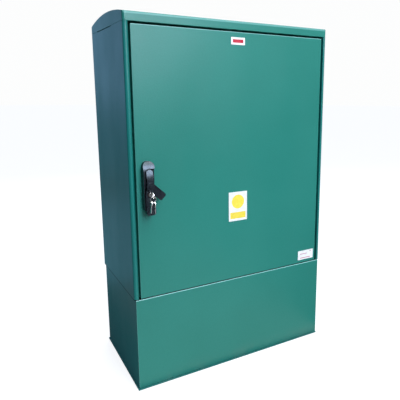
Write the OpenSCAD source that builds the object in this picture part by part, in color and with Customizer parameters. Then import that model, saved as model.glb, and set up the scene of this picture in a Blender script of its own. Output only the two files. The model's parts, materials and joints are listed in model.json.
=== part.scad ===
// Roadside utility cabinet: a moulded kiosk on a plinth, with an arched roof, a hinged front door, and a
// swing handle that drives two locking rods. The origin is the middle of the plinth's foot on the ground,
// the front faces -Y, +X is to the right as seen from the front, and +Z is up. Sizes are in millimetres.

/* [Cabinet] */
// Width over the side panels
width = 764; // [640:1:960]
// Depth over the side panels
depth = 392; // [330:1:500]
// Height of the plinth
plinth_h = 323; // [240:1:450]
// Height of the side panels
panel_h = 870; // [720:1:1100]
// Thickness of the moulded walls
wall = 4; // [3:0.5:5]
// Outer radius of the upright corners
corner_r = 9; // [7:0.5:12]
// Width of the inner flanges of the side panels
flange_w = 32; // [28:1:40]
// Length of the vent notch under the roof
vent_l = 176; // [100:1:240]
// Height of the vent notch
vent_h = 2.5; // [1.5:0.5:3]

/* [Roof] */
// Height of the roof's front face
fascia_h = 27.5; // [22:0.5:40]
// How much lower the rear edge is than the front edge
roof_fall = 4; // [0:0.5:8]
// Radius of the arch
roof_r = 973; // [700:1:1400]
// Rounding of the front top edge
roof_front_r = 7; // [5:0.5:10]
// Rounding of the rear top edge
roof_rear_r = 18; // [6:0.5:24]

/* [Plinth] */
// How far the plinth stands in from the sides and the rear
plinth_inset = 5; // [2:0.5:8]
// Thickness of the plinth's walls
plinth_wall = 5; // [4:0.5:6]
// Thickness of the foot
foot_h = 6; // [5:0.5:8]
// Width of the foot
foot_w = 62; // [55:1:80]
// How far the foot stands out past the plinth's walls
foot_lip = 3; // [0:0.5:4]
// Diameter of the holes for the ground bolts
foot_hole_d = 14; // [10:0.5:18]
// Distance of the ground bolts from the plinth's side faces
foot_bolt_in = 35; // [28:1:40]
// Distance between the front and rear ground bolts
foot_bolt_span = 316; // [250:1:330]
// Width of the plinth's top flange
plinth_flange = 45; // [40:1:60]

/* [Door] */
// Width of the front posts beside the door
post_w = 15.5; // [14:0.5:20]
// Gap round the door's sides and top
door_gap = 6.5; // [5:0.5:8]
// Gap under the door
sill_gap = 3.5; // [3:0.5:5]
// How far the door's face stands behind the posts
door_set = 0.5; // [0:0.1:1]
// Depth of the door's folded edge
door_depth = 24; // [22:1:26]
// Width of the door's rear flange
door_flange = 44; // [42:1:50]
// Thickness of the rear flange
door_flange_t = 3.5; // [2.5:0.5:4]
// Depth of the stiffening ribs behind the skin
rib_d = 12; // [8:1:14]
// How far behind the front plane the frame's door stop is
stop_in = 36; // [34:1:38]
// Width of the rubber seal
seal_w = 10; // [8:0.5:10]
// Distance of the seal's middle from the door's edge
seal_in = 37; // [36:0.5:38]

/* [Hinges] */
// Distance of the end hinges from the door's top and bottom edges
hinge_end = 120; // [80:1:200]
// Distance of the hinge axis from the inner face of the door's edge
hinge_in = 6; // [5.5:0.5:6.5]
// Diameter of the hinge pins
hinge_pin_d = 6; // [5:0.5:6]
// Outer radius of the knuckles
knuckle_r = 5; // [4.5:0.25:5]
// Height of the frame knuckle
knuckle_h = 24; // [18:1:30]

/* [Handle] */
// Distance of the handle from the inner face of the door's edge
handle_in = 31; // [30:1:36]
// Height of the handle's spindle above the ground
spindle_z = 743; // [650:1:850]
// Width of the housing
housing_w = 37; // [35:0.5:39]
// Housing above the spindle
housing_up = 35; // [32:1:38]
// Housing below the spindle
housing_down = 120; // [112:1:128]
// How far the housing stands out behind the lever
housing_h = 13.5; // [12.5:0.5:14]
// How far the housing's cap stands out
cap_h = 23; // [22:0.5:24]
// Radius of the lever's round top
lever_r = 10.75; // [10.5:0.25:11]
// Half width of the lever's lower part
lever_half = 15; // [14:0.5:15.5]
// Length of the lever below the spindle
lever_l = 133; // [127:1:141]
// Height of the lever's face round the key
lever_face = 29; // [28:0.5:30]
// Height of the lever's lower end
lever_end = 33; // [31:0.5:34]
// Distance of the key cover's pivot below the spindle
cover_down = 42; // [40:1:43]
// Distance of the key below the cover's pivot
key_down = 25; // [24:1:28]
// Angle of the key cover from closed
cover_angle = 47; // [46:1:60]

/* [Lock] */
// Number of teeth on the pinion
teeth = 16; // [16:2:18]
// Module of the teeth
gear_m = 1.25; // [1.1:0.05:1.25]
// Free play between the teeth
backlash = 0.35; // [0.3:0.05:0.4]
// Width of a locking rod
rod_w = 8; // [7:0.5:9]
// Thickness of a locking rod
rod_t = 4; // [3:0.5:4]
// Diameter of the lock cylinder
cylinder_d = 18; // [17:0.5:19]
// Diameter of the key plug
plug_d = 12; // [11:0.5:12]
// Radius of the key ring
ring_r = 9; // [8:0.5:11]

/* [Inside] */
// Width of the mounting board
board_w = 600; // [400:10:640]
// Distance of the board from the rear panel
board_gap = 36; // [25:1:50]
// Number of cable openings in the floor
cable_count = 6; // [3:1:6]
// Radius of a cable opening
cable_r = 30; // [20:1:32]

/* [Labels] */
// Size of the middle label plate
mid_plate = [74, 105]; // [40:1:120]
// Size of the top label plate
top_plate = [53, 24]; // [20:1:90]
// Size of the corner label plate
low_plate = [74, 37]; // [20:1:90]
// Thickness of the label plates
plate_t = 0.8; // [0.5:0.1:1.5]

/* [Hidden] */
$fn = 64;
eps = 0.01;

// Clearances
slip = 0.1; // running fit of a shaft, on the radius
free = 0.3; // between soft or curved neighbours
play = 0.5; // between moving flat neighbours

// Planes of the cabinet
half_w = width / 2;
front_y = -depth / 2;
rear_y = depth / 2;
top_z = plinth_h + panel_h;
stop_y = front_y + stop_in;
stop_back = stop_y + wall;

// Planes of the plinth
plinth_x = half_w - plinth_inset;
plinth_rear = rear_y - plinth_inset;
plinth_front_y = front_y + plinth_wall;
plinth_return = 40;
cover_lift = foot_h + 2;

// Planes of the door
jamb_x = half_w - post_w;
door_x = jamb_x - door_gap;
door_y = front_y + door_set;
door_z0 = plinth_h + sill_gap;
door_z1 = top_z - door_gap - 0.5;
skin_y = door_y + wall;
door_back = door_y + door_depth;
stop_x = door_x - seal_in - seal_w / 2 - 4;
stop_z0 = door_z0 + seal_in + seal_w / 2 + 4;
stop_z1 = door_z1 - seal_in - seal_w / 2 - 4;

// Hinges
hinge_count = 3;
pivot_x = door_x - wall - hinge_in;
pivot_y = skin_y + hinge_in - play;
arm_t = 5;
arm_notch = 2; // room round the hinge arm in the door's edge
leaf_t = 4;
door_leaf_t = 3;
leaf_reach = 38; // from the hinge axis to the far edge of the door leaf
lug_h = 5;

// Handle and lock
handle_x = -door_x + wall + handle_in;
housing_top = spindle_z + housing_up;
housing_low = spindle_z - housing_down;
lever_back = housing_h + play;
pocket_r = lever_r + 2.25;
pocket_floor = 4;
pin_h = 17;
pin_r = 2.5;
tongue_r = 3.8;
tongue_half = 4;
shaft_r = 6;
tail_r = 4;
cover_z = spindle_z - cover_down;
cover_r = 13;
cover_l = 56;
cover_h = lever_face + 0.8;
cover_t = 4.2;
rivet_r = 3;
key_z = cover_z - key_down;
cylinder_back = lever_back + 1;
cylinder_rim = lever_face + 0.4;
key_t = 2.2;
blade_h = 8.4;
key_shoulder = cover_h + cover_t + 1.5;
bow_r = 11;
bow_h = key_shoulder + bow_r - 1;
hole_h = bow_h + 5.5;
hole_r = 3.5;
wire_r = 0.9;
hang = 0.6; // room between the ring's wire and the top of a spare key's hole
wire_z = key_z - hole_r + wire_r + free;
ring_z = wire_z - ring_r; // the ring's middle
spare_bow_r = 9;
spare_blade = 22;

// Rack and pinion
pitch_r = teeth * gear_m / 2;
base_r = pitch_r * cos(20);
root_r = pitch_r - 1.25 * gear_m;
tip_r = pitch_r + 0.9 * gear_m;
tooth_pitch = PI * gear_m;
rod_y0 = skin_y + 4.5;
pinion_y0 = rod_y0 - 1.5;
pinion_y1 = rod_y0 + rod_t + 1.5;
case_half = pitch_r + 1.3 * gear_m + rod_w + 4;
case_up = 40;
case_t = 1.5;
case_tab = 6;
case_screw_x = case_half + 2.8;
case_screw_z = case_up - 7;
case_screw_r = 1.5;
case_screw_in = 2.5; // how far the lock case's screws go into the door's skin
case_y = pinion_y1 + 1;
rod_show_top = 1; // how far the upper rod stands out of the door
rod_show_low = 2; // how far the lower rod stands out of the door

// Inside
floor_z = plinth_h + wall;
board_y = rear_y - 2 * wall - board_gap;
board_z0 = plinth_h + 90;
board_z1 = top_z - 90;
bolt_r = 4;
floor_bolt_x = half_w - wall - flange_w / 2;
floor_bolt_y = [stop_back + 25, 15, rear_y - 50];
rear_bolt_z = [plinth_h + 60, plinth_h + panel_h / 2, top_z - 60];
rear_return = 30;
rear_bolt_x = half_w - rear_return / 2 - 4;
frame_bolt_x = door_x - 20;

function hinge_z(i) = door_z0 + hinge_end + (door_z1 - door_z0 - 2 * hinge_end) * i / (hinge_count - 1);

// ---- Shapes used many times ----

// A block given by its ends along x, y and z
module block(x, y, z) {
    translate([x[0], y[0], z[0]])
        cube([x[1] - x[0], y[1] - y[0], z[1] - z[0]]);
}

// A round bar along x, y or z that starts at a point
module bar_x(p, r, l) {
    translate(p) rotate([0, 90, 0]) cylinder(r = r, h = l);
}

module bar_y(p, r, l) {
    translate(p) rotate([-90, 0, 0]) cylinder(r = r, h = l);
}

module bar_z(p, r, l) {
    translate(p) cylinder(r = r, h = l);
}

// An outline drawn in x and z, and given thickness from y0 to y1
module front_plate(y0, y1) {
    translate([0, y1, 0]) rotate([90, 0, 0]) linear_extrude(y1 - y0) children();
}

// An outline drawn in y and z, and given length from x0 to x1
module side_plate(x0, x1) {
    translate([x0, 0, 0]) rotate([90, 0, 90]) linear_extrude(x1 - x0) children();
}

// A rectangle about the origin with round corners
module rounded_rect(w, d, r) {
    square([w - 2 * r, d], center = true);
    square([w, d - 2 * r], center = true);
    for (x = [-1, 1], y = [-1, 1])
        translate([x * (w / 2 - r), y * (d / 2 - r)]) circle(r);
}

// A hexagon bolt: its head stands on z = 0 and its shank goes down
module bolt(r, l) {
    cylinder(r = r * 1.8, h = r * 1.1, $fn = 6);
    translate([0, 0, -l]) cylinder(r = r, h = l + eps);
}

// A screw with a round head: its head stands on z = 0 and its shank goes down
module screw(r, l, head) {
    cylinder(r = r * 1.8, h = head);
    translate([0, 0, -l]) cylinder(r = r, h = l + eps);
}

module both_sides() {
    for (side = [0, 1]) mirror([side, 0, 0]) children();
}

// ---- Plinth ----

module plinth_shell() color("#2c7f78") difference() {
    union() {
        both_sides() {
            block([-plinth_x, -plinth_x + plinth_wall], [plinth_front_y, plinth_rear], [0, plinth_h]);
            block([-plinth_x, -plinth_x + plinth_return], [plinth_front_y, plinth_front_y + plinth_wall],
                [0, plinth_h]);
            block([-plinth_x - foot_lip, -plinth_x + foot_w], [front_y, plinth_rear + foot_lip], [0, foot_h]);
            block([-plinth_x, -plinth_x + plinth_flange], [plinth_front_y, plinth_rear],
                [plinth_h - plinth_wall, plinth_h]);
        }
        block([-plinth_x, plinth_x], [plinth_rear - plinth_wall, plinth_rear], [0, plinth_h]);
        block([-plinth_x, plinth_x], [front_y, front_y + foot_w], [0, foot_h]);
        block([-plinth_x, plinth_x], [plinth_rear - foot_w, plinth_rear + foot_lip], [0, foot_h]);
        block([-plinth_x, plinth_x], [plinth_front_y, plinth_front_y + plinth_flange],
            [plinth_h - plinth_wall, plinth_h]);
        block([-plinth_x, plinth_x], [plinth_rear - plinth_flange, plinth_rear],
            [plinth_h - plinth_wall, plinth_h]);
    }
    for (x = [-1, 1], y = [-1, 1])
        bar_z([x * (plinth_x - foot_bolt_in), y * foot_bolt_span / 2, -1], foot_hole_d / 2, foot_h + 2);
    for (x = [-1, 1], y = floor_bolt_y)
        bar_z([x * floor_bolt_x, y, plinth_h - plinth_wall - 1], bolt_r, plinth_wall + 2);
    lower_rod_hole(plinth_h - plinth_wall - 1, plinth_h + 1);
}

module plinth_front() color("#359088") {
    block([-plinth_x, plinth_x], [front_y, plinth_front_y], [cover_lift, plinth_h]);
    // tabs that grip behind the front edges of the plinth
    tab_x = plinth_x - plinth_return;
    for (z = [plinth_h * 0.25, plinth_h * 0.7])
        both_sides()
            difference() {
                block([-tab_x, -tab_x + 8], [plinth_front_y - eps, plinth_front_y + plinth_wall + 6], [z, z + 30]);
                block([-tab_x - 1, -tab_x + free], [plinth_front_y, plinth_front_y + plinth_wall + free],
                    [z - 1, z + 31]);
            }
}

// ---- Body ----

// The side panel in plan: its outer wall, front post, jamb, door stop and rear return
module side_section() {
    difference() {
        intersection() {
            rounded_rect(width, depth, corner_r);
            translate([-half_w, front_y]) square([post_w, depth]);
        }
        intersection() {
            rounded_rect(width - 2 * wall, depth - 2 * wall, corner_r - wall);
            translate([-half_w, front_y]) square([post_w - wall, depth]);
        }
        translate([-jamb_x - wall - eps, stop_back]) square([wall + 1, rear_y - wall - stop_back]);
    }
    translate([-jamb_x - wall, stop_y]) square([jamb_x + wall - stop_x, wall]);
    translate([-jamb_x - eps, rear_y - wall]) square([rear_return - post_w, wall]);
}

module side_panel() difference() {
    union() {
        translate([0, 0, plinth_h]) linear_extrude(panel_h) side_section();
        for (z = [plinth_h, top_z - wall])
            block([-half_w + wall - eps, -half_w + wall + flange_w], [stop_back - eps, rear_y - 2 * wall],
                [z, z + wall]);
    }
    for (y = floor_bolt_y) {
        bar_z([-floor_bolt_x, y, plinth_h - 1], bolt_r, wall + 2);
        bar_z([-floor_bolt_x, y, top_z - wall - 1], bolt_r, wall + 2);
    }
    for (z = rear_bolt_z)
        bar_y([-rear_bolt_x, rear_y - wall - 1, z], bolt_r, wall + 2);
    for (z = [rail_bolt_z(0), rail_bolt_z(1)])
        bar_y([-frame_bolt_x, stop_y - 1, z], bolt_r, wall + 2);
    // vent notch under the roof
    block([-half_w - 1, -half_w + wall + flange_w + 1], [21 - vent_l / 2, 21 + vent_l / 2],
        [top_z - vent_h, top_z + 1]);
}

module side_panel_left() color("#3f6374") side_panel();

module side_panel_right() color("#3f6374") difference() {
    mirror([1, 0, 0]) side_panel();
    for (i = [0 : hinge_count - 1], z = [-1, 1])
        bar_y([leaf_bolt_x, stop_y - 1, hinge_z(i) + z * leaf_bolt_z], leaf_bolt_r, wall + 2);
}

module rear_panel() color("#2f857d") difference() {
    union() {
        block([-half_w + corner_r, half_w - corner_r], [rear_y - 2 * wall, rear_y - wall], [plinth_h, top_z]);
        block([-half_w + 50, half_w - 50], [rear_y - 40, rear_y - 2 * wall + eps], [top_z - wall, top_z]);
    }
    for (x = [-1, 1], z = rear_bolt_z)
        bar_y([x * rear_bolt_x, rear_y - 2 * wall - 1, z], bolt_r, wall + 2);
    for (x = [-1, 1], z = board_bolt_z)
        bar_y([x * board_bolt_x, rear_y - 2 * wall - 1, z], bolt_r / 2, wall + 2);
}

// ---- Roof ----

// The roof's outline in y and z: an arch with rounded front and rear edges, drawn inwards by inset
module roof_outline(inset) {
    half = depth / 2;
    fall = [half * 2, -roof_fall];
    middle = [0, top_z + fascia_h - roof_fall / 2];
    drop = sqrt(roof_r * roof_r - pow(norm(fall) / 2, 2));
    centre = middle - [roof_fall, 2 * half] / norm(fall) * drop;
    arch = roof_r - inset;
    base = top_z + inset;
    bite = 0.05; // the rounded edges run past the upright faces, which cut them off
    for (end = [-1, 1]) {
        r = (end < 0 ? roof_front_r : roof_rear_r) - inset;
        y = end * (half - inset - r + bite);
        z = centre[1] + sqrt(pow(arch - r, 2) - pow(y - centre[0], 2));
        touch = centre[0] + (y - centre[0]) * arch / (arch - r);
        // the rounded edge, down to the roof's lower edge
        intersection() {
            translate([y, z]) circle(r);
            translate([y - r + (end < 0 ? bite : -bite), base]) square([2 * r, z - base + r]);
        }
        // the upright face below the rounded edge
        translate([min(end * (half - inset), touch), base])
            square([abs(end * (half - inset) - touch), z - base]);
        // half of the arch, from its middle to this edge
        intersection() {
            translate([min(0, touch), base]) square([abs(touch), 200]);
            translate(centre) circle(arch, $fn = 360);
        }
    }
}

module roof_solid(inset) intersection() {
    side_plate(-half_w + inset, half_w - inset) roof_outline(inset);
    translate([0, 0, top_z - 1])
        linear_extrude(200) rounded_rect(width - 2 * inset, depth - 2 * inset, corner_r - inset);
}

module roof() color("#5fa7a6") difference() {
    roof_solid(0);
    roof_solid(wall);
    block([-half_w + wall + flange_w, half_w - wall - flange_w], [stop_back + 30, rear_y - 45],
        [top_z - 1, top_z + wall + 1]);
    for (x = [-1, 1], y = floor_bolt_y)
        bar_z([x * floor_bolt_x, y, top_z - 1], bolt_r, wall + 2);
    upper_rod_hole(top_z - 1, top_z + wall + 1);
}

// ---- Door frame rails ----

function rail_bolt_z(i) = i == 0 ? stop_z0 - 20 : stop_z1 + 20;

module rail(z0, z1, flange_z) difference() {
    union() {
        block([-stop_x + play, stop_x - play], [stop_y, stop_back], [z0, z1]);
        block([-stop_x + 20, stop_x - 20], [stop_back - eps, stop_back + 36], [flange_z, flange_z + wall]);
        both_sides()
            block([-frame_bolt_x - 8, -stop_x + 30], [stop_back, stop_back + wall], [z0, z1]);
    }
    for (x = [-1, 1], z = [rail_bolt_z(0), rail_bolt_z(1)])
        bar_y([x * frame_bolt_x, stop_y - 1, z], bolt_r, 2 * wall + 2);
}

module top_rail() color("#2f857d") rail(stop_z1, top_z - wall, top_z - 2 * wall);

module sill_rail() color("#2f857d") rail(plinth_h + wall, stop_z0, plinth_h + wall);

module floor_plate() color("#4a4f4e") difference() {
    block([-half_w + wall + 1, half_w - wall - 1], [stop_back + 40, rear_y - 2 * wall - play],
        [floor_z, floor_z + wall]);
    for (x = [-1, 1], y = floor_bolt_y)
        bar_z([x * floor_bolt_x, y, floor_z - 1], bolt_r, wall + 2);
    for (i = [0 : cable_count - 1])
        bar_z([cable_x(i), cable_y, floor_z - 1], cable_r, wall + 2);
}

function cable_x(i) = (i - (cable_count - 1) / 2) * (2 * cable_r + 36);
cable_y = 20;

// Rubber cable grommets: a grooved collar with a stepped dome
module cable_grommets() color("#1d1f20")
    for (i = [0 : cable_count - 1])
        translate([cable_x(i), cable_y, floor_z])
            difference() {
                union() {
                    cylinder(r = cable_r, h = wall);
                    translate([0, 0, wall]) cylinder(r = cable_r + 5, h = 3);
                    translate([0, 0, -3]) cylinder(r = cable_r + 3, h = 3);
                    translate([0, 0, wall + 3]) cylinder(r = cable_r - 8, h = 8);
                }
                translate([0, 0, -4]) cylinder(r = cable_r - 4, h = wall + 5);
                translate([0, 0, -4]) cylinder(r = cable_r - 10, h = wall + 13);
            }

module door_seal() color("#161819")
    front_plate(door_back + free, stop_y)
        translate([0, (door_z0 + door_z1) / 2])
            difference() {
                seal_box(seal_w / 2);
                seal_box(-seal_w / 2);
            }

module seal_box(grow)
    rounded_rect(2 * (door_x - seal_in + grow), door_z1 - door_z0 - 2 * seal_in + 2 * grow, 6 + grow);

// ---- Inside ----

board_bolt_x = board_w / 2 - 30;
board_bolt_z = [board_z0 + 40, board_z1 - 40];
board_t = 3;

module mounting_board() color("#8f8a7c") difference() {
    block([-board_w / 2, board_w / 2], [board_y - board_t, board_y], [board_z0, board_z1]);
    for (x = [-1, 1], z = board_bolt_z)
        bar_y([x * board_bolt_x, board_y - board_t - 1, z], bolt_r / 2 + slip, board_t + 2);
}

module board_standoffs() color("#b5b8ba")
    for (x = [-1, 1], z = board_bolt_z)
        difference() {
            bar_y([x * board_bolt_x, board_y, z], 8, board_gap);
            bar_y([x * board_bolt_x, board_y - 1, z], bolt_r / 2, 22);
        }

module board_screws() color("#c3c6c8")
    for (x = [-1, 1], z = board_bolt_z)
        translate([x * board_bolt_x, board_y - board_t, z]) rotate([90, 0, 0]) screw(bolt_r / 2, 20, 3);

// Two hat-section rails across the board
rail_l = board_w - 100;
rail_d = 7.5;
module device_rails() color("#c9ccce")
    for (z = [board_z0 + (board_z1 - board_z0) * 0.45, board_z0 + (board_z1 - board_z0) * 0.8])
        translate([0, board_y - board_t, z])
            side_plate(-rail_l / 2, rail_l / 2)
                polygon([
                    [0, -13.5], [0, 13.5], [-rail_d + 1, 13.5], [-rail_d + 1, 17.5], [-rail_d, 17.5],
                    [-rail_d, 12.5], [-1, 12.5], [-1, -12.5], [-rail_d, -12.5], [-rail_d, -17.5],
                    [-rail_d + 1, -17.5], [-rail_d + 1, -13.5]
                ]);

earth_l = 260;
earth_z = board_z0 + 70;
earth_gap = 18;
module earth_bar() color("#b87333") difference() {
    block([-earth_l / 2, earth_l / 2], [board_y - board_t - earth_gap - 5, board_y - board_t - earth_gap],
        [earth_z - 10, earth_z + 10]);
    for (i = [-4 : 4])
        bar_y([i * 24, board_y - board_t - earth_gap - 6, earth_z], 3.2, 7);
}

module earth_posts() color("#d9dadb")
    for (x = [-1, 1])
        bar_y([x * (earth_l / 2 - 14), board_y - board_t - earth_gap, earth_z], 8, earth_gap);

// Slotted channel across the plinth, on which the cables are clamped
channel_y = [30, 70];
channel_z = [plinth_h - 80, plinth_h - 60];
module cable_rail() color("#b9bcbe") difference() {
    block([-plinth_x + plinth_wall, plinth_x - plinth_wall], channel_y, channel_z);
    block([-plinth_x + plinth_wall + 4, plinth_x - plinth_wall - 4], [channel_y[0] + 2.5, channel_y[1] - 2.5],
        [channel_z[0] - 1, channel_z[1] - 2.5]);
    for (i = [-5 : 5])
        block([i * 60 - 14, i * 60 + 14], [45, 55], [channel_z[1] - 3, channel_z[1] + 1]);
}

// ---- Bolts ----

module floor_bolts() color("#c3c6c8")
    for (x = [-1, 1], y = floor_bolt_y)
        translate([x * floor_bolt_x, y, floor_z + (y > stop_back + 40 ? wall : 0)])
            bolt(bolt_r, 2 * wall + plinth_wall + (y > stop_back + 40 ? 0 : -wall));

module roof_bolts() color("#c3c6c8")
    for (x = [-1, 1], y = floor_bolt_y)
        translate([x * floor_bolt_x, y, top_z - wall]) mirror([0, 0, 1]) bolt(bolt_r, 2 * wall + 3);

module rear_bolts() color("#c3c6c8")
    for (x = [-1, 1], z = rear_bolt_z)
        translate([x * rear_bolt_x, rear_y - 2 * wall, z]) rotate([90, 0, 0]) bolt(bolt_r, 2 * wall);

module frame_bolts() color("#c3c6c8")
    for (x = [-1, 1], i = [0, 1])
        translate([x * frame_bolt_x, stop_back + wall, rail_bolt_z(i)]) rotate([-90, 0, 0])
            bolt(bolt_r, 2 * wall);

// ---- Rod keepers ----

rod_room = 3; // room round a rod in its keeper
upper_rod_x = handle_x - pitch_r - 1.3 * gear_m - rod_w;
lower_rod_x = handle_x + pitch_r + 1.3 * gear_m;

module rod_hole(x, room, z0, z1)
    block([x - room, x + rod_w + room], [rod_y0 - room, rod_y0 + rod_t + room], [z0, z1]);

module upper_rod_hole(z0, z1) rod_hole(upper_rod_x, rod_room, z0, z1);

module lower_rod_hole(z0, z1) rod_hole(lower_rod_x, rod_room, z0, z1);

module keeper(x, z0, z1) difference() {
    block([x - 10, x + rod_w + 10], [front_y + 6, rod_y0 + rod_t + 14], [z0, z1]);
    rod_hole(x, 1.5, z0 - 1, z1 + 1);
}

module rod_keeper_top() color("#b9bcbe") keeper(upper_rod_x, top_z + wall, top_z + wall + 3);

module rod_keeper_bottom() color("#b9bcbe")
    keeper(lower_rod_x, plinth_h - plinth_wall - 3, plinth_h - plinth_wall);

// ---- Hinges ----

leaf_h = 50;
leaf_x = [pivot_x - 15, pivot_x + 14];
leaf_bolt_x = pivot_x + 7;
leaf_bolt_z = 18;
leaf_bolt_r = 2.5;

// Fixed leaf: a plate on the door stop, an arm and a knuckle
module frame_leaf(i) color("#8d9194") translate([0, 0, hinge_z(i)]) difference() {
    union() {
        block(leaf_x, [stop_y - leaf_t, stop_y], [-leaf_h / 2, leaf_h / 2]);
        block([pivot_x - arm_t, pivot_x], [pivot_y, stop_y - leaf_t + eps], [-knuckle_h / 2, knuckle_h / 2]);
        bar_z([pivot_x, pivot_y, -knuckle_h / 2], knuckle_r, knuckle_h);
    }
    bar_z([pivot_x, pivot_y, -leaf_h], hinge_pin_d / 2 + slip, 2 * leaf_h);
    for (z = [-1, 1])
        bar_y([leaf_bolt_x, stop_y - leaf_t - 1, z * leaf_bolt_z], leaf_bolt_r, leaf_t + 2);
}

// Door leaf: a plate on the back of the door's skin and two lugs that hold the pin
module door_leaf(i) color("#8d9194") translate([0, 0, hinge_z(i)]) difference() {
    lug_z = knuckle_h / 2 + play;
    union() {
        block([pivot_x - leaf_reach, pivot_x - 8], [skin_y, skin_y + door_leaf_t], [-22, 22]);
        for (z = [-lug_z - lug_h, lug_z]) {
            block([pivot_x - 20, pivot_x], [skin_y + play, pivot_y + knuckle_r - 2], [z, z + lug_h]);
            bar_z([pivot_x, pivot_y, z], knuckle_r, lug_h);
        }
    }
    bar_z([pivot_x, pivot_y, -leaf_h], hinge_pin_d / 2, 2 * leaf_h);
}

module hinge_pin(i) color("#c3c6c8") translate([pivot_x, pivot_y, hinge_z(i)]) {
    end_z = knuckle_h / 2 + play + lug_h;
    bar_z([0, 0, -end_z - 1], hinge_pin_d / 2, 2 * end_z + 1 + eps);
    bar_z([0, 0, end_z], hinge_pin_d / 2 + 1, 2);
}

module hinge_screws() color("#c3c6c8")
    for (i = [0 : hinge_count - 1], z = [-1, 1])
        translate([leaf_bolt_x, stop_y - leaf_t, hinge_z(i) + z * leaf_bolt_z]) rotate([90, 0, 0])
            screw(leaf_bolt_r, leaf_t + wall + 2, 2.5);

module hinge_frame_leaf_1() frame_leaf(0);
module hinge_frame_leaf_2() frame_leaf(1);
module hinge_frame_leaf_3() frame_leaf(2);
module hinge_door_leaf_1() door_leaf(0);
module hinge_door_leaf_2() door_leaf(1);
module hinge_door_leaf_3() door_leaf(2);
module hinge_pin_1() hinge_pin(0);
module hinge_pin_2() hinge_pin(1);
module hinge_pin_3() hinge_pin(2);

// ---- Door ----

rib_x0 = handle_x + case_half + 12; // the ribs stay clear of the lock

module door_panel() color("#3a9187") difference() {
    union() {
        difference() {
            block([-door_x, door_x], [door_y, door_back], [door_z0, door_z1]);
            block([-door_x + wall, door_x - wall], [skin_y, door_back - door_flange_t],
                [door_z0 + wall, door_z1 - wall]);
            block([-door_x + door_flange, door_x - door_flange], [skin_y, door_back + 1],
                [door_z0 + door_flange, door_z1 - door_flange]);
        }
        for (i = [1 : 3])
            block([rib_x0, pivot_x - leaf_reach - 2], [skin_y - eps, skin_y + rib_d],
                [rib_z(i) - 2, rib_z(i) + 2]);
        for (x = [-1, 1] * door_x / 3)
            block([x - 2, x + 2], [skin_y - eps, skin_y + rib_d - 2], [door_z0 + wall, door_z1 - wall]);
    }
    // notches for the hinge arms
    for (i = [0 : hinge_count - 1])
        block([pivot_x - arm_t - arm_notch, door_x + 1], [skin_y, door_back + 1],
            [hinge_z(i) - knuckle_h / 2 - arm_notch, hinge_z(i) + knuckle_h / 2 + arm_notch]);
    // holes for the spindle, the screws of the housing and the lock, and the locking rods
    bar_y([handle_x, door_y - 1, spindle_z], shaft_r + 2, wall + 2);
    for (z = housing_screw_z)
        bar_y([handle_x, door_y - 1, z], pin_r, wall + 2);
    for (x = [-1, 1], z = [-1, 1])
        bar_y([handle_x + x * case_screw_x, skin_y - case_screw_in, spindle_z + z * case_screw_z], case_screw_r,
            case_screw_in + 1);
    rod_hole(upper_rod_x, play, door_z1 - wall - 1, door_z1 + 1);
    rod_hole(lower_rod_x, play, door_z0 - 1, door_z0 + wall + 1);
}

function rib_z(i) = door_z0 + (door_z1 - door_z0) * i / 4;

module label_plate(size, x, z)
    front_plate(door_y - plate_t, door_y)
        translate([x, z]) rounded_rect(size[0], size[1], 2);

module middle_plate() color("#f2efe6") label_plate(mid_plate, 3, door_z0 + 266);

module upper_plate() color("#f2efe6") label_plate(top_plate, 3, door_z1 - 29);

module corner_plate() color("#e9e6e2")
    label_plate(low_plate, door_x - 9.5 - low_plate[0] / 2, door_z0 + 11 + low_plate[1] / 2);

// ---- Handle housing ----

housing_screw_z = [housing_top - 9, housing_low + 9];

// The y of a face that stands out from the door by h
function out(h) = door_y - h;

module housing_outline() {
    top_r = housing_w / 2 - 3;
    foot_r = 5;
    for (x = [-1, 1]) {
        translate([x * (housing_w / 2 - top_r), housing_top - top_r]) circle(top_r);
        translate([x * (housing_w / 2 - foot_r), housing_low + foot_r]) circle(foot_r);
    }
    translate([-housing_w / 2, housing_low + foot_r])
        square([housing_w, housing_top - top_r - housing_low - foot_r]);
    translate([-housing_w / 2 + foot_r, housing_low]) square([housing_w - 2 * foot_r, foot_r + 1]);
    translate([-3, housing_top - top_r]) square([6, top_r]);
}

// Channel beside the lever's narrow part
channel_half = pocket_r - 0.5;
channel_l = 46;

module housing_body() {
    front_plate(out(housing_h), out(0)) housing_outline();
    // raised cap above the lever, with a rim down its left side
    front_plate(out(cap_h), out(housing_h) + eps) difference() {
        housing_outline();
        translate([-channel_half, spindle_z - channel_l]) square([2 * channel_half, channel_l]);
        translate([-lever_half - play, housing_low - 1])
            square([3 * lever_half, housing_down - channel_l + 1 + eps]);
        // the side to which the lever turns is open
        translate([0, housing_low - 1]) square([housing_w, housing_down + 1 + lever_r + 1.75]);
    }
}

// The housing from the side, with its domed top
module housing_profile() {
    dome_r = 58;
    translate([out(cap_h), housing_low - 1]) square([cap_h + 1, housing_down + 1]);
    translate([out(cap_h) + dome_r, spindle_z]) circle(dome_r);
}

module handle_housing() color("#22262a") translate([handle_x, 0, 0]) difference() {
    intersection() {
        housing_body();
        side_plate(-housing_w, housing_w) housing_profile();
    }
    // round pocket for the lever's head, and the spindle's bearing
    bar_y([0, out(cap_h) - 1, spindle_z], pocket_r, cap_h - pocket_floor + 1);
    bar_y([0, out(cap_h), spindle_z], shaft_r + slip, cap_h + 1);
    // hollow underside round a screw boss
    difference() {
        block([-housing_w / 2 + 3, housing_w / 2 - 3], [out(housing_h - 3), out(0) + 1],
            [housing_low + 3, spindle_z - pocket_r - 4]);
        bar_y([0, out(housing_h), housing_screw_z[1]], 7, housing_h + 1);
    }
    for (z = housing_screw_z)
        bar_y([0, out(9), z], pin_r, 10);
}

module housing_screws() color("#c3c6c8")
    for (z = housing_screw_z)
        translate([handle_x, skin_y, z]) rotate([-90, 0, 0]) screw(pin_r, wall + 8, 3);

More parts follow.
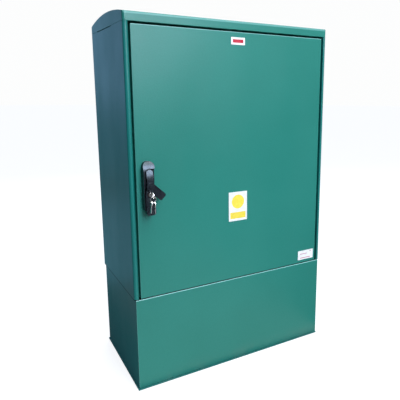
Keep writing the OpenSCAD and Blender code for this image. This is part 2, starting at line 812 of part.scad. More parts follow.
// ---- Lock behind the door ----

module lock_case() color("#b9bcbe") translate([handle_x, 0, spindle_z]) difference() {
    union() {
        block([-case_half, case_half], [case_y, case_y + case_t], [-case_up, case_up]);
        both_sides() {
            block([-case_half, -case_half + case_t], [skin_y, case_y + eps], [-case_up, case_up]);
            for (z = [-case_up, case_up - 14])
                block([-case_half - case_tab, -case_half + eps], [skin_y, skin_y + case_t], [z, z + 14]);
        }
    }
    bar_y([0, case_y - 1, 0], tail_r + slip, case_t + 2);
    for (x = [-1, 1], z = [-1, 1])
        bar_y([x * case_screw_x, skin_y - 1, z * case_screw_z], case_screw_r, case_t + 2);
}

module lock_case_screws() color("#c3c6c8")
    for (x = [-1, 1], z = [-1, 1])
        translate([handle_x + x * case_screw_x, skin_y + case_t, spindle_z + z * case_screw_z])
            rotate([-90, 0, 0]) screw(case_screw_r, case_t + case_screw_in, 2);

module rod_guides() color("#202325") {
    top = door_z1 - 60;
    low = door_z0 + 60;
    for (guide = [[upper_rod_x, top], [upper_rod_x, (top + spindle_z) / 2],
                  [lower_rod_x, low], [lower_rod_x, (low + spindle_z) / 2]])
        difference() {
            block([guide[0] - 4, guide[0] + rod_w + 4], [skin_y, rod_y0 + rod_t + 3], [guide[1], guide[1] + 18]);
            rod_hole(guide[0], free, guide[1] - 1, guide[1] + 19);
        }
}

// Angle, in degrees, of half a tooth at radius r
function involute(r) = let (a = acos(min(1, base_r / r))) tan(a) * 180 / PI - a;
function half_tooth(r) =
    90 / teeth - backlash / 2 / pitch_r * 90 / PI + involute(pitch_r) - involute(max(r, base_r));
flank = [root_r, base_r, pitch_r - 0.3 * gear_m, pitch_r, pitch_r + 0.35 * gear_m, pitch_r + 0.65 * gear_m, tip_r];

module lock_pinion() color("#a4a8ab") translate([handle_x, 0, spindle_z]) difference() {
    front_plate(pinion_y0, pinion_y1)
        polygon([
            for (tooth = [0 : teeth - 1])
                let (at = tooth * 360 / teeth)
                    for (side = [-1, 1], i = [0 : len(flank) - 1])
                        let (r = flank[side < 0 ? i : len(flank) - 1 - i])
                            r * [cos(at + side * half_tooth(r)), sin(at + side * half_tooth(r))]
        ]);
    bar_y([0, pinion_y0 - 1, 0], shaft_r, pinion_y1 - pinion_y0 + 2);
}

// A rack's outline in x and z: its teeth point to +x, and a gap between teeth is at z = 0
module rack_teeth(z0, z1) {
    reach = 0.88 * gear_m;
    depth_in = 1.3 * gear_m;
    slope = tan(20);
    thick = tooth_pitch / 4 - backlash / 4;
    for (i = [ceil(z0 / tooth_pitch) : floor(z1 / tooth_pitch)])
        translate([-pitch_r, (i + 0.5) * tooth_pitch])
            polygon([
                [-depth_in - eps, -thick - depth_in * slope], [reach, -thick + reach * slope],
                [reach, thick - reach * slope], [-depth_in - eps, thick + depth_in * slope]
            ]);
}

module rod_bar(z0, z1) {
    front_plate(rod_y0, rod_y0 + rod_t) {
        translate([-pitch_r - 1.3 * gear_m - rod_w, z0]) square([rod_w, z1 - z0]);
        rack_teeth(-8, 22);
    }
}

module upper_rod() color("#b4b7ba") translate([handle_x, 0, spindle_z])
    rod_bar(-13, door_z1 + rod_show_top - spindle_z);

module lower_rod() color("#b4b7ba") translate([handle_x, 0, spindle_z])
    rotate([0, 180, 0]) rod_bar(-13, spindle_z - door_z0 + rod_show_low);

// ---- Spindle ----

module lock_spindle() color("#9a9ea1") translate([handle_x, 0, spindle_z]) difference() {
    union() {
        bar_y([0, out(pocket_floor + 1), 0], shaft_r, pinion_y1 - out(pocket_floor + 1));
        bar_y([0, pinion_y1 - eps, 0], tail_r, case_y + case_t + 2 - pinion_y1);
        bar_y([0, out(pocket_floor + free + 3), 0], pocket_r - 2, 3);
        block([-tongue_half, tongue_half], [out(pin_h), out(pocket_floor + 2)], [-tongue_r, tongue_r]);
        bar_x([-tongue_half, out(pin_h), 0], tongue_r, 2 * tongue_half);
    }
    bar_x([-tongue_half - 1, out(pin_h), 0], pin_r + slip, 2 * tongue_half + 2);
}

// ---- Lever ----

module lever_outline() {
    shoulder = -48;
    corner = 8;
    circle(lever_r);
    polygon([
        [-lever_r, 0], [-lever_r, shoulder], [-lever_half, shoulder - 12], [-lever_half, corner - lever_l],
        [corner - lever_half, -lever_l], [lever_half - corner, -lever_l], [lever_half, corner - lever_l],
        [lever_half, shoulder - 12], [lever_r, shoulder], [lever_r, 0]
    ]);
    for (x = [-1, 1])
        translate([x * (lever_half - corner), corner - lever_l]) circle(corner);
}

// The lever from the side: flat round the lock, domed towards its top and thicker at its lower end
module lever_profile() {
    dome_r = 109;
    dome_z = -28;
    intersection() {
        polygon([
            [out(lever_face), lever_r + 1], [out(lever_back + 5.5), lever_r + 1], [out(lever_back), 3],
            [out(lever_back), -lever_l], [out(lever_end), -lever_l], [out(lever_face), -lever_l + 36]
        ]);
        union() {
            translate([out(lever_end) - 1, -lever_l - 1]) square([lever_end + 1, lever_l + 1 + dome_z]);
            translate([out(lever_face) + dome_r, dome_z]) circle(dome_r);
        }
    }
}

module lever() color("#25292e") translate([handle_x, 0, spindle_z]) difference() {
    intersection() {
        front_plate(out(40), out(0)) lever_outline();
        side_plate(-20, 20) lever_profile();
    }
    // slot for the spindle's tongue, and the hole for the pin
    block([-tongue_half - free, tongue_half + free], [out(pin_h + tongue_r + play), out(lever_back) + 1],
        [-tongue_r - 1.2, lever_r + 1]);
    bar_x([-lever_r - 1, out(pin_h), 0], pin_r, 2 * lever_r + 2);
    // hollow underside round the boss of the lock
    difference() {
        union() {
            block([-lever_r + 3, lever_r - 3], [out(lever_face - 5), out(lever_back) + 1], [-60, -16]);
            block([-lever_half + 3, lever_half - 3], [out(lever_face - 4), out(lever_back) + 1],
                [-lever_l + 6, -62]);
        }
        bar_y([0, out(lever_face), key_z - spindle_z], cylinder_d / 2 + 2.2, lever_face);
        bar_y([0, out(lever_face), cover_z - spindle_z], rivet_r + 2.5, lever_face);
    }
    bar_y([0, out(lever_face + 1), key_z - spindle_z], cylinder_d / 2, lever_face);
    bar_y([0, out(lever_face + 1), cover_z - spindle_z], rivet_r, lever_face);
}

module lever_pin() color("#c3c6c8")
    bar_x([handle_x - lever_r + 0.8, out(pin_h), spindle_z], pin_r, 2 * lever_r - 1.6);

module lock_cylinder() color("#c9c6bd") translate([handle_x, 0, key_z]) difference() {
    union() {
        bar_y([0, out(lever_face), 0], cylinder_d / 2, lever_face - cylinder_back);
        bar_y([0, out(cylinder_rim), 0], cylinder_d / 2 + 1.5, cylinder_rim - lever_face);
    }
    bar_y([0, out(cylinder_rim + 1), 0], plug_d / 2 + slip, cylinder_rim - cylinder_back);
}

module cover_rivet() color("#3b4045") translate([handle_x, 0, cover_z]) {
    head = cover_h + cover_t + free;
    bar_y([0, out(head), 0], rivet_r, head - lever_back);
    bar_y([0, out(head + 1.2), 0], rivet_r + 2, 1.2 + eps);
}

// The key cover, swung aside, hollow over the lock's rim
module key_cover() color("#3d4148")
    translate([handle_x, 0, cover_z]) rotate([0, -cover_angle, 0]) difference() {
        tip_r = 6;
        front_plate(out(cover_h + cover_t), out(cover_h)) {
            circle(cover_r);
            translate([-cover_r, -cover_l + tip_r]) square([2 * cover_r, cover_l - tip_r]);
            translate([-cover_r + tip_r, -cover_l]) square([2 * (cover_r - tip_r), tip_r + 1]);
            for (x = [-1, 1])
                translate([x * (cover_r - tip_r), -cover_l + tip_r]) circle(tip_r);
        }
        bar_y([0, out(cover_h + cover_t + 1), 0], rivet_r + slip, cover_t + 2);
        bar_y([0, out(cover_h + 2), -key_down], cover_r - 1.5, 3);
    }

// ---- Key ----

module cylinder_plug() color("#d2cfc6") translate([handle_x, 0, key_z]) difference() {
    bar_y([0, out(cylinder_rim), 0], plug_d / 2, cylinder_rim - cylinder_back - 1);
    block([-key_t / 2 - slip, key_t / 2 + slip], [out(cylinder_rim + 1), out(cylinder_back + 3)],
        [-blade_h / 2 - slip, blade_h / 2 + slip]);
}

module lock_key() color("#dcdcd6") translate([handle_x, 0, key_z])
    side_plate(-key_t / 2, key_t / 2) difference() {
        union() {
            translate([out(key_shoulder + 2), -blade_h / 2])
                square([key_shoulder + 2 - cylinder_back - 4, blade_h]);
            translate([out(bow_h), 0]) circle(bow_r);
        }
        translate([out(hole_h), 0]) circle(hole_r);
    }

module key_ring() color("#e2e2de")
    translate([handle_x, out(hole_h), wire_z - ring_r]) rotate([90, 0, 0])
        rotate_extrude() translate([ring_r, 0]) circle(wire_r, $fn = 24);

// A spare key that hangs on the ring's wire, at an angle from the ring's lowest point
module spare_key(angle) color("#dcdcd6") {
    // the hole's middle below the wire, which crosses the key aslant
    hole_z = wire_r / cos(angle) + key_t / 2 * abs(tan(angle)) + hang - hole_r;
    bow_z = hole_z - 4.5;
    tip_z = bow_z - spare_bow_r - spare_blade;
    translate([handle_x + ring_r * sin(angle), out(hole_h), ring_z - ring_r * cos(angle)])
        rotate([0, -0.07 * angle, 0])
            side_plate(-key_t / 2, key_t / 2) difference() {
                union() {
                    translate([0, bow_z]) circle(spare_bow_r);
                    difference() {
                        translate([-blade_h / 2, tip_z]) square([blade_h, spare_blade + 4]);
                        // bitting
                        for (i = [0 : 3])
                            translate([blade_h / 2, tip_z + 3.5 + i * 4.5]) circle(1.2 + 0.25 * (i % 2));
                    }
                }
                translate([0, hole_z]) circle(hole_r);
            }
}

module spare_key_1() spare_key(-48);

module spare_key_2() spare_key(22);

// ---- Nodes ----

plinth_shell();
plinth_front();
side_panel_left();
side_panel_right();
rear_panel();
roof();
top_rail();
sill_rail();
floor_plate();
cable_grommets();
door_seal();
mounting_board();
board_standoffs();
board_screws();
device_rails();
earth_bar();
earth_posts();
cable_rail();
floor_bolts();
roof_bolts();
rear_bolts();
frame_bolts();
rod_keeper_top();
rod_keeper_bottom();
hinge_frame_leaf_1();
hinge_frame_leaf_2();
hinge_frame_leaf_3();
hinge_door_leaf_1();
hinge_door_leaf_2();
hinge_door_leaf_3();
hinge_pin_1();
hinge_pin_2();
hinge_pin_3();
hinge_screws();
door_panel();
handle_housing();
housing_screws();
lock_case();
lock_case_screws();
rod_guides();
middle_plate();
upper_plate();
corner_plate();
lock_spindle();
lock_pinion();
lever();
lever_pin();
lock_cylinder();
cover_rivet();
key_cover();
cylinder_plug();
lock_key();
key_ring();
spare_key_1();
spare_key_2();
upper_rod();
lower_rod();
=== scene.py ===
"""Looks of the roadside utility cabinet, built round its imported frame. Lengths are in metres, in the part's frame:
the origin is the middle of the plinth's foot, the front faces -Y, +X is to the right and +Z is up."""

import json
import math

import bmesh
import bpy
from mathutils import Matrix, Vector

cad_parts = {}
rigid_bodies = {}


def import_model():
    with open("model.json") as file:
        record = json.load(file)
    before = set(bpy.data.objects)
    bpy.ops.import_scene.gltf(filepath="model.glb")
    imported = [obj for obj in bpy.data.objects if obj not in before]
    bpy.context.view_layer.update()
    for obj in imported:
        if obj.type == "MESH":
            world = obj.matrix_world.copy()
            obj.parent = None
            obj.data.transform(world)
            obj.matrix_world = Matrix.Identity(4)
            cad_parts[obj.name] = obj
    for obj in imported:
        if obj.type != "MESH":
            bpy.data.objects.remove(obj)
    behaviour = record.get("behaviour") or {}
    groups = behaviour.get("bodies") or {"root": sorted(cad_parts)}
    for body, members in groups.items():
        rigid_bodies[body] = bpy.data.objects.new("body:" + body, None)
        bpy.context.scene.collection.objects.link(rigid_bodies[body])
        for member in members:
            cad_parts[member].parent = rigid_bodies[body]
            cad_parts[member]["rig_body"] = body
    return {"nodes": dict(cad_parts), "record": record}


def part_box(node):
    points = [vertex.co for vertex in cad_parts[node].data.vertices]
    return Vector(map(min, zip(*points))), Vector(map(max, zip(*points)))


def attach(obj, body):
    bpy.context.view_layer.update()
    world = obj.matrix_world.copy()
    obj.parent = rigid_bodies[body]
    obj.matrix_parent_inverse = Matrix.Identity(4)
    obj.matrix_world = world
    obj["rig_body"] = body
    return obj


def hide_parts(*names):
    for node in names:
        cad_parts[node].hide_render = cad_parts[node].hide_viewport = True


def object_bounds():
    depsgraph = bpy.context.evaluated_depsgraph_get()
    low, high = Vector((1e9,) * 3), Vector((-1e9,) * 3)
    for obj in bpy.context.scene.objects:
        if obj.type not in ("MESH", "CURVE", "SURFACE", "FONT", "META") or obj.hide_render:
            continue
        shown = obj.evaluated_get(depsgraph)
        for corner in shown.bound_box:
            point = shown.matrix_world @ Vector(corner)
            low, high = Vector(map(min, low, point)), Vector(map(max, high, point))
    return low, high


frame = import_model()
NODES = frame["nodes"]
cad_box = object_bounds()
scene = bpy.context.scene
MM = 0.001


def link(obj):
    scene.collection.objects.link(obj)
    return obj


# ---- Camera ----


def make_camera(place, yaw, pitch, roll, lens, shift):
    """A camera that looks along +Y, turned yaw degrees towards +X and pitch degrees down."""
    data = bpy.data.cameras.new("camera")
    data.lens, data.sensor_width = lens, 36
    data.shift_x, data.shift_y = shift
    camera = link(bpy.data.objects.new("camera", data))
    turn = Matrix.Rotation(math.radians(-yaw), 4, "Z") @ Matrix.Rotation(math.radians(90 - pitch), 4, "X")
    camera.matrix_world = Matrix.Translation(place) @ turn @ Matrix.Rotation(math.radians(roll), 4, "Z")
    scene.camera = camera


make_camera((-0.780, -1.5604, 0.9843), yaw=30.94, pitch=10.56, roll=0.243, lens=41.0, shift=(-0.11625, -0.05275))


# ---- Shader nodes ----

# The sockets of a Mix node that is set to colours.
SHARE, FIRST, SECOND = 0, 6, 7


def set_inputs(node, values):
    """Sets a node's inputs, by name or number, to other nodes' outputs or to constants."""
    for key, value in values.items():
        if isinstance(value, bpy.types.NodeSocket):
            node.id_data.links.new(value, node.inputs[key])
        else:
            node.inputs[key].default_value = value
    return node


def add(tree, kind, values, **options):
    """A new node with these options and inputs."""
    made = tree.nodes.new(kind)
    for key, value in options.items():
        setattr(made, key, value)
    return set_inputs(made, values)


def mix(tree, share, first, second):
    return add(tree, "ShaderNodeMix", {SHARE: share, FIRST: first, SECOND: second}, data_type="RGBA").outputs[2]


def span(tree, value, low, high, to_low=0.0, to_high=1.0):
    """A smooth step from to_low, where the value is low, to to_high, where it is high."""
    numbers = {"Value": value, "From Min": low, "From Max": high, "To Min": to_low, "To Max": to_high}
    return add(tree, "ShaderNodeMapRange", numbers, interpolation_type="SMOOTHSTEP").outputs[0]


class Shader:
    """A Principled material whose sockets are fed by short chains of nodes."""

    def __init__(self, name, **constants):
        self.material = bpy.data.materials.new(name)
        self.material.use_nodes = True
        self.tree = self.material.node_tree
        self.bsdf = self.tree.nodes["Principled BSDF"]
        self.place = self.add("ShaderNodeTexCoord", {}).outputs["Object"]
        self.set(**constants)

    def add(self, kind, values, **options):
        return add(self.tree, kind, values, **options)

    def mix(self, share, first, second):
        return mix(self.tree, share, first, second)

    def span(self, value, low, high, to_low=0.0, to_high=1.0):
        return span(self.tree, value, low, high, to_low, to_high)

    def set(self, **values):
        set_inputs(self.bsdf, {key.replace("_", " "): value for key, value in values.items()})

    def noise(self, scale, detail=3.0, rough=0.5, stretch=None):
        at = self.place
        if stretch:
            at = self.add("ShaderNodeMapping", {"Vector": at, "Scale": stretch}).outputs[0]
        values = {"Vector": at, "Scale": scale, "Detail": detail, "Roughness": rough}
        return self.add("ShaderNodeTexNoise", values).outputs["Fac"]

    def math(self, operation, *values):
        return self.add("ShaderNodeMath", dict(enumerate(values)), operation=operation).outputs[0]

    def axis(self, letter):
        return self.add("ShaderNodeSeparateXYZ", {"Vector": self.place}).outputs[letter]

    def bump(self, height, distance, strength, under=None):
        values = {"Height": height, "Distance": distance, "Strength": strength}
        if under is not None:
            values["Normal"] = under
        return self.add("ShaderNodeBump", values).outputs[0]


def rgb(red, green, blue):
    """A colour from its 0 to 255 screen values."""
    linear = [c / 12.92 if c <= 0.04045 else ((c + 0.055) / 1.055) ** 2.4 for c in (red / 255, green / 255, blue / 255)]
    return (*linear, 1)


# ---- Materials ----

# The relief of a moulding, from its waves to its grain: noise scale, detail and roughness, then depth and strength.
RELIEF = ((8, 1, 0.5, 0.0014, 0.5), (230, 1, 0.5, 0.0005, 0.55), (600, 2, 0.55, 0.0001, 0.55))
# The first colour is a painted highlight for the mouldings' front edges; the second is road dust.
PAINTED_EDGE_HIGHLIGHT, ROAD_DUST = rgb(160, 222, 214), rgb(120, 132, 122)
# Painted shade: the first colour darkens the ledge in the gap under the door, the second a band just above the plinth
# joint.
LEDGE_SHADE, JOINT_SHADE = rgb(5, 9, 10), rgb(8, 16, 18)
DUST_TOP = 0.07
DULL_TOP, DULL_FOOT = 0.32, 0.10
# The nodes with a painted highlight on their front edges: how strong it is, and how far back from the front it reaches.
PALE_EDGES = {"roof": (0.25, 2.6 * MM), "door_panel": (0.6, 2.6 * MM), "plinth_front": (0.8, 1.6 * MM)}


def highlight_rim(s, node):
    """The share of painted highlight along the top and left edges of a node's front, less on the left."""
    paleness, reach = PALE_EDGES[node]
    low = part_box(node)[0]
    front_top = max(v.co.z for v in NODES[node].data.vertices if v.co.y < low.y + 0.1 * MM)
    ahead = s.span(s.axis("Y"), low.y + reach + 0.5 * MM, low.y + reach - 0.3 * MM)
    top = s.span(s.axis("Z"), front_top - 2.4 * MM, front_top - 1.6 * MM)
    left = s.span(s.axis("X"), low.x + 2.0 * MM, low.x + 1.2 * MM, 0.0, 0.2)
    return s.math("MULTIPLY", s.math("MULTIPLY", ahead, s.math("MAXIMUM", top, left)), paleness)


def gelcoat(name, light, deep, gloss=0.34, pale=None, joint=None, dull=0.0, shut=None):
    """Pigmented glass-fibre moulding: broad colour drift, orange peel, slightly wavy panels, a little dust near the
    ground. The node pale gets a painted highlight along its top and left front edges. A painted shadow darkens a band
    just above the height joint, which is also rougher. The ledge at the height shut, behind the front, is painted dark
    as shade under the door. A dull moulding gets rougher towards the ground."""
    s = Shader(name, IOR=1.5)
    drift = s.span(s.noise(2.4, 3), 0.3, 0.7)
    speck = s.span(s.noise(190, 2, 0.6), 0.35, 0.7)
    colour = s.mix(s.math("MULTIPLY_ADD", speck, 0.3, s.math("MULTIPLY", drift, 0.6)), light, deep)
    patches = s.span(s.noise(9, 5, 0.6), 0.4, 0.75, 0.03, 0.22)
    dust = s.math("MULTIPLY", s.span(s.axis("Z"), DUST_TOP, 0.0), patches)
    # Painted shade on the ledge in the gap under the door, behind the plinth front.
    if shut:
        front = cad_box[0][1]
        behind = s.span(s.axis("Y"), front + 1.8 * MM, front + 2.4 * MM)
        ledge = s.math("MULTIPLY", behind, s.span(s.axis("Z"), shut - 1.2 * MM, shut - 0.8 * MM))
        colour = s.mix(ledge, colour, LEDGE_SHADE)
    # Painted highlight: a pale tint along the top and left front edges of the node pale.
    if pale:
        colour = s.mix(highlight_rim(s, pale), colour, PAINTED_EDGE_HIGHLIGHT)
    rough = s.math("MULTIPLY", s.span(s.noise(6, 4, 0.55, stretch=(1, 1, 0.35)), 0.35, 0.7), 0.07)
    # Painted shadow in a band just above the plinth joint; the band is also made rougher.
    if joint:
        joint_shade_band = s.span(s.axis("Z"), joint + 4.0 * MM, joint + 2.8 * MM)
        colour = s.mix(joint_shade_band, colour, JOINT_SHADE)
        rough = s.math("MULTIPLY_ADD", joint_shade_band, 0.6, rough)
    if dull:
        rough = s.math("MULTIPLY_ADD", s.span(s.axis("Z"), DULL_TOP, DULL_FOOT), dull, rough)
    s.set(Base_Color=s.mix(dust, colour, ROAD_DUST))
    s.set(Roughness=s.math("ADD", rough, s.math("MULTIPLY_ADD", dust, 0.3, gloss)))
    normal = None
    for scale, detail, roughness, depth, strength in RELIEF:
        normal = s.bump(s.noise(scale, detail, roughness), depth, strength, normal)
    s.set(Normal=normal)
    return s.material


def plain(name, first, second, rough, metal=0.0):
    """Moulded or plated stock: two close tones in blotches, uneven gloss and a fine grain."""
    s = Shader(name, Metallic=metal)
    s.set(Base_Color=s.mix(s.span(s.noise(60, 4), 0.3, 0.7), first, second))
    s.set(Roughness=s.span(s.noise(42, 4), 0.25, 0.75, rough - 0.06, rough + 0.08))
    s.set(Normal=s.bump(s.noise(500, 2), 0.04 * MM, 0.6))
    return s.material


def printed(name, node, marks):
    """A white plate with plain fields of colour. Each mark is a disc (its middle, radius and colour) or a bar (its
    ends across and up, and colour), in mm from the plate's middle."""
    blur = 0.2
    low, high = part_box(node)
    s = Shader(name, IOR=1.5)
    x, z = (
        s.math("MULTIPLY_ADD", s.axis(letter), 1 / MM, -(from_ + to) / 2 / MM)
        for letter, from_, to in (("X", low.x, high.x), ("Z", low.z, high.z))
    )
    colour = s.mix(s.span(s.noise(90, 3), 0.3, 0.7), rgb(246, 246, 243), rgb(238, 238, 234))
    for kind, across, up, *rest in marks:
        if kind == "disc":
            square = [s.math("POWER", s.math("SUBTRACT", v, at), 2.0) for v, at in ((x, across), (z, up))]
            inside = s.span(s.math("SQRT", s.math("ADD", *square)), rest[0] + blur, rest[0] - blur)
        else:
            sides = []
            for v, (start, end) in ((x, across), (z, up)):
                off = s.math("ABSOLUTE", s.math("SUBTRACT", v, (start + end) / 2))
                sides.append(s.span(off, (end - start) / 2 + blur, (end - start) / 2 - blur))
            inside = s.math("MULTIPLY", *sides)
        colour = s.mix(inside, colour, rest[-1])
    s.set(Base_Color=colour, Roughness=s.span(s.noise(60, 3), 0.3, 0.7, 0.24, 0.34))
    s.set(Normal=s.bump(s.noise(300, 2), 0.04 * MM, 0.5))
    return s.material


FRONT = (rgb(36, 129, 114), rgb(28, 120, 105))
# The sides' green is the front's made darker and bluer: painted shade and a painted blue sky reflection on what is one
# paint all round.
SHADED_SIDE_GREEN = (rgb(22, 124, 114), rgb(14, 115, 106))
PLINTH_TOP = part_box("plinth_front")[1].z
BLACK = plain("black_moulding", rgb(8, 9, 16), rgb(5, 6, 11), 0.29)
set_inputs(BLACK.node_tree.nodes["Principled BSDF"], {"IOR": 1.68, "Specular Tint": (0.74, 0.90, 1.0, 1)})
SLOTS = {
    "cabinet_green": gelcoat("green_gelcoat", *FRONT),
    "side_green": gelcoat("green_gelcoat_sides", *SHADED_SIDE_GREEN, joint=PLINTH_TOP),
    "floor_grey": plain("grey_laminate", rgb(86, 92, 90), rgb(70, 76, 74), 0.5),
    "board_tan": plain("tan_board", rgb(176, 138, 92), rgb(150, 112, 70), 0.6),
    "rubber_black": plain("black_rubber", rgb(30, 31, 32), rgb(20, 21, 22), 0.72),
    "plated_steel": plain("zinc_plate", rgb(190, 194, 196), rgb(168, 173, 176), 0.34, metal=1.0),
    "cast_zinc": plain("cast_zinc", rgb(150, 153, 155), rgb(128, 132, 135), 0.46, metal=1.0),
    "copper_bar": plain("copper", rgb(206, 128, 88), rgb(184, 104, 68), 0.33, metal=1.0),
    "insulator_white": plain("white_insulator", rgb(226, 224, 216), rgb(212, 209, 200), 0.4),
    "handle_black": BLACK,
    "guide_black": plain("black_guide", rgb(32, 33, 36), rgb(24, 25, 27), 0.5),
    "label_white": printed(
        "yellow_print", "middle_plate",
        [("disc", 0, 17, 25, rgb(250, 228, 84)), ("bar", (-31, 31), (-44, -21), rgb(247, 222, 82))],
    ),
    "label_red": printed("red_print", "upper_plate", [("bar", (-20, 20), (-5.5, 5.5), rgb(196, 44, 62))]),
    "label_pale": printed(
        "pale_print", "corner_plate",
        [("bar", (-28, 6), (3, 7), rgb(214, 176, 184)), ("bar", (-28, 22), (-13, -10), rgb(206, 128, 142)),
         ("bar", (20, 26), (10, 14), rgb(205, 170, 178))],
    ),
    "nickel": plain("nickel", rgb(240, 238, 233), rgb(222, 219, 212), 0.24, metal=1.0),
}
# The nodes whose finish differs from the rest of their slot.
FINISHES = {
    "lock_cylinder": plain("dark_nickel", rgb(92, 84, 84), rgb(60, 54, 56), 0.4, metal=1.0),
    "roof": gelcoat("green_gelcoat_roof", *FRONT, pale="roof"),
    "door_panel": gelcoat("green_gelcoat_door", *FRONT, pale="door_panel"),
    "plinth_front": gelcoat("green_gelcoat_plinth", *FRONT, pale="plinth_front", shut=PLINTH_TOP),
    "plinth_shell": gelcoat("green_gelcoat_shell", *SHADED_SIDE_GREEN, gloss=0.36, dull=0.3, shut=PLINTH_TOP),
}
SLOT_OF = {piece["node"]: piece["material_slot"] for piece in frame["record"]["subparts"]}
for node, slot in SLOT_OF.items():
    mesh = NODES[node].data
    mesh.materials.clear()
    mesh.materials.append(FINISHES.get(node, SLOTS[slot]))


# ---- Mouldings with rounded edges ----

# The roof's inner faces have a slit less than a micron wide. A coarser weld would glue its sides and open the mesh.
WELD = 0.0003 * MM
SHARP, SAME_PLANE = math.radians(32), math.radians(0.3)
# The least length across of a run of edges that is rounded, which leaves out small holes and slots.
LEAST_RUN = 0.05
STEEP = 0.9
# In the roof, an upward face below LIP_UNDER is the top of its front lip, and a downward face above CEILING_OVER is
# its ceiling.
ROOF_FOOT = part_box("roof")[0].z
LIP_UNDER, CEILING_OVER = ROOF_FOOT + 17 * MM, ROOF_FOOT + 2 * MM
# The mouldings of which only the outer edges are rounded.
SHELLS = ("roof", "side_panel_left", "side_panel_right", "plinth_shell", "rear_panel")
# How far each node's edges are rounded, in mm, and how far those that face the plinth's joint are.
ROUNDING = {
    "roof": (1.2, None), "door_panel": (1.4, None), "side_panel_left": (0.9, 2.2), "side_panel_right": (0.9, 2.2),
    "plinth_front": (1.2, 2.0), "plinth_shell": (0.9, None), "rear_panel": (1.0, None),
    "handle_housing": (0.3, None), "lever": (0.45, None), "key_cover": (0.4, None),
}


def long_runs(lines):
    """The edges that belong to a connected run at least LEAST_RUN across."""
    left, kept = set(lines), []
    while left:
        run, todo = [], [left.pop()]
        while todo:
            line = todo.pop()
            run.append(line)
            near = [n for v in line.verts for n in v.link_edges if n in left]
            left.difference_update(near)
            todo.extend(near)
        places = [v.co for line in run for v in line.verts]
        if max(max(c) - min(c) for c in zip(*places)) > LEAST_RUN:
            kept += run
    return kept


def faces_out(line):
    """True for an edge whose faces all look away from the cabinet's middle, or straight up or down."""
    middle = (line.verts[0].co + line.verts[1].co) / 2
    return all(abs(f.normal.z) > STEEP or f.normal.xy.dot(middle.xy) > 0 for f in line.link_faces)


def inside_roof(face):
    """True for the roof's ceiling and for the top of its front lip."""
    height = face.calc_center_median().z
    return face.normal.z > STEEP and height < LIP_UNDER or face.normal.z < -STEEP and height > CEILING_OVER


def merge_flat(form, node):
    """Joins a form's coplanar faces. The roof's inner faces are left alone: joined round their slit, they open."""
    form.normal_update()
    lines = form.edges
    if node == "roof":
        lines = [e for e in lines if faces_out(e) and not any(inside_roof(f) for f in e.link_faces)]
    bmesh.ops.dissolve_limit(form, angle_limit=SAME_PLANE, verts=form.verts, edges=list(lines))
    form.normal_update()


def rounded(node, width, heavy):
    """A copy of a CAD node whose edges are rounded, as a mould leaves them, by width mm, or by heavy mm along the
    plinth's joint."""
    mesh = NODES[node].data.copy()
    mesh.name = node + "_moulding"
    form = bmesh.new()
    form.from_mesh(mesh)
    bmesh.ops.remove_doubles(form, verts=form.verts, dist=WELD)
    merge_flat(form, node)
    most = heavy or width
    weight = form.edges.layers.float.new("bevel_weight_edge")
    angled = [e for e in form.edges if len(e.link_faces) == 2 and e.calc_face_angle() > SHARP]
    if node in SHELLS:
        angled = [e for e in angled if e.is_convex and faces_out(e)]
    for line in long_runs(angled):
        at_joint = heavy and all(abs(v.co.z - PLINTH_TOP) < 0.2 * MM for v in line.verts)
        line[weight] = (heavy if at_joint else width) / most
    form.to_mesh(mesh)
    form.free()
    if "custom_normal" in mesh.attributes:
        mesh.attributes.remove(mesh.attributes["custom_normal"])
    mesh.shade_smooth()
    made = link(bpy.data.objects.new(mesh.name, mesh))
    bevel = made.modifiers.new("edges", "BEVEL")
    bevel.width, bevel.segments, bevel.limit_method = most * MM, 3, "WEIGHT"
    bevel.use_clamp_overlap, bevel.harden_normals = False, False
    weigh = made.modifiers.new("normals", "WEIGHTED_NORMAL")
    weigh.keep_sharp, weigh.weight = False, 100
    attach(made, NODES[node]["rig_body"])
    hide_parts(node)


for node, widths in ROUNDING.items():
    rounded(node, *widths)


# ---- Floor and light ----

WHITE = (1, 1, 1, 1)


def share_of_view(tree, seen, lit, output):
    """Joins what the camera sees straight on with what lights the scene."""
    ray = add(tree, "ShaderNodeLightPath", {}).outputs["Is Camera Ray"]
    mixer = add(tree, "ShaderNodeMixShader", {0: ray, 1: lit, 2: seen})
    set_inputs(tree.nodes[output], {"Surface": mixer.outputs[0]})


def make_floor():
    """A pale floor, which lights the object less than it shows."""
    mesh = bpy.data.meshes.new("floor")
    form = bmesh.new()
    bmesh.ops.create_circle(form, cap_ends=True, segments=64, radius=40)
    form.to_mesh(mesh)
    form.free()
    s = Shader("pale_floor", Specular_IOR_Level=0.05, Emission_Color=WHITE, Emission_Strength=0.85)
    s.set(Base_Color=s.mix(s.noise(1.5, 3), (0.29, 0.30, 0.30, 1), (0.31, 0.32, 0.32, 1)))
    s.set(Roughness=s.span(s.noise(4, 3), 0.3, 0.7, 0.75, 0.85))
    tone = s.mix(s.noise(1.5, 3), (0.19, 0.20, 0.20, 1), (0.21, 0.22, 0.22, 1))
    dull = s.add("ShaderNodeBsdfDiffuse", {"Color": tone})
    share_of_view(s.tree, s.bsdf.outputs[0], dull.outputs[0], "Material Output")
    mesh.materials.append(s.material)
    link(bpy.data.objects.new("floor", mesh))


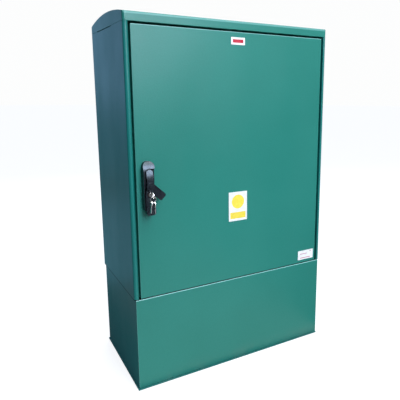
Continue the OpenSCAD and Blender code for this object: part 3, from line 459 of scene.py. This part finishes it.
def make_light(name, place, aim, size, radiance, colour):
    data = bpy.data.lights.new(name, "AREA")
    data.shape, data.size, data.size_y = "RECTANGLE", *size
    data.energy, data.color = radiance * math.pi * size[0] * size[1], colour
    lamp = link(bpy.data.objects.new(name, data))
    lamp.location = place
    lamp.rotation_euler = (Vector(aim) - Vector(place)).to_track_quat("-Z", "Y").to_euler()
    lamp.visible_camera = False


def make_world(front, behind, left):
    """A soft studio, plain white behind the object, whose light is dimmer behind and on the left."""
    world = bpy.data.worlds.new("studio")
    world.use_nodes = True
    tree = world.node_tree
    place = add(tree, "ShaderNodeTexCoord", {}).outputs["Generated"]
    colour = (*front, 1)
    for shade, towards, low, high in ((behind, (0, 1, 0), 0.0, 0.6), (left, (-0.94, -0.34, 0), 0.1, 0.6)):
        dot = add(tree, "ShaderNodeVectorMath", {0: place, 1: towards}, operation="DOT_PRODUCT").outputs["Value"]
        colour = mix(tree, span(tree, dot, low, high), colour, (*shade, 1))
    lit = set_inputs(tree.nodes["Background"], {"Color": colour})
    seen = add(tree, "ShaderNodeBackground", {"Color": (0.98, 0.985, 0.985, 1)})
    share_of_view(tree, seen.outputs[0], lit.outputs[0], "World Output")
    scene.world = world


make_floor()
make_world(front=(0.46, 0.46, 0.45), behind=(0.30, 0.42, 0.70), left=(0.17, 0.23, 0.33))
# Each lamp's name, place, aim, size, radiance and colour. The blue ones stand in for the sky on the left side.
for lamp in (
    ("softbox", (0.3, -3.3, 2.25), (0.1, 0, 1.0), (1.3, 1.7), 15.0, (0.76, 0.82, 1.0)),
    ("overhead", (0.45, -1.9, 3.5), (0.3, -0.9, 0.6), (2.0, 2.0), 5.0, (0.90, 0.96, 1.0)),
    ("card", (-0.1, -0.86, 0.012), (-0.1, -0.86, 1.0), (1.0, 1.3), 0.5, (1.0, 0.95, 0.92)),
    ("blue_card", (-1.3, 3.3, 1.15), (-0.4, 0, 0.8), (2.2, 2.2), 0.3, (0.20, 0.72, 1.0)),
    ("blue_floor", (-1.0, 1.7, 0.012), (-1.0, 1.7, 1.0), (1.6, 2.0), 0.35, (0.15, 0.66, 1.0)),
    ("back", (1.1, 3.0, 2.3), (0.2, 0, 0.8), (1.8, 1.8), 6.0, (0.98, 0.99, 1.0)),
):
    make_light(*lamp)

scene.view_settings.view_transform = "Standard"
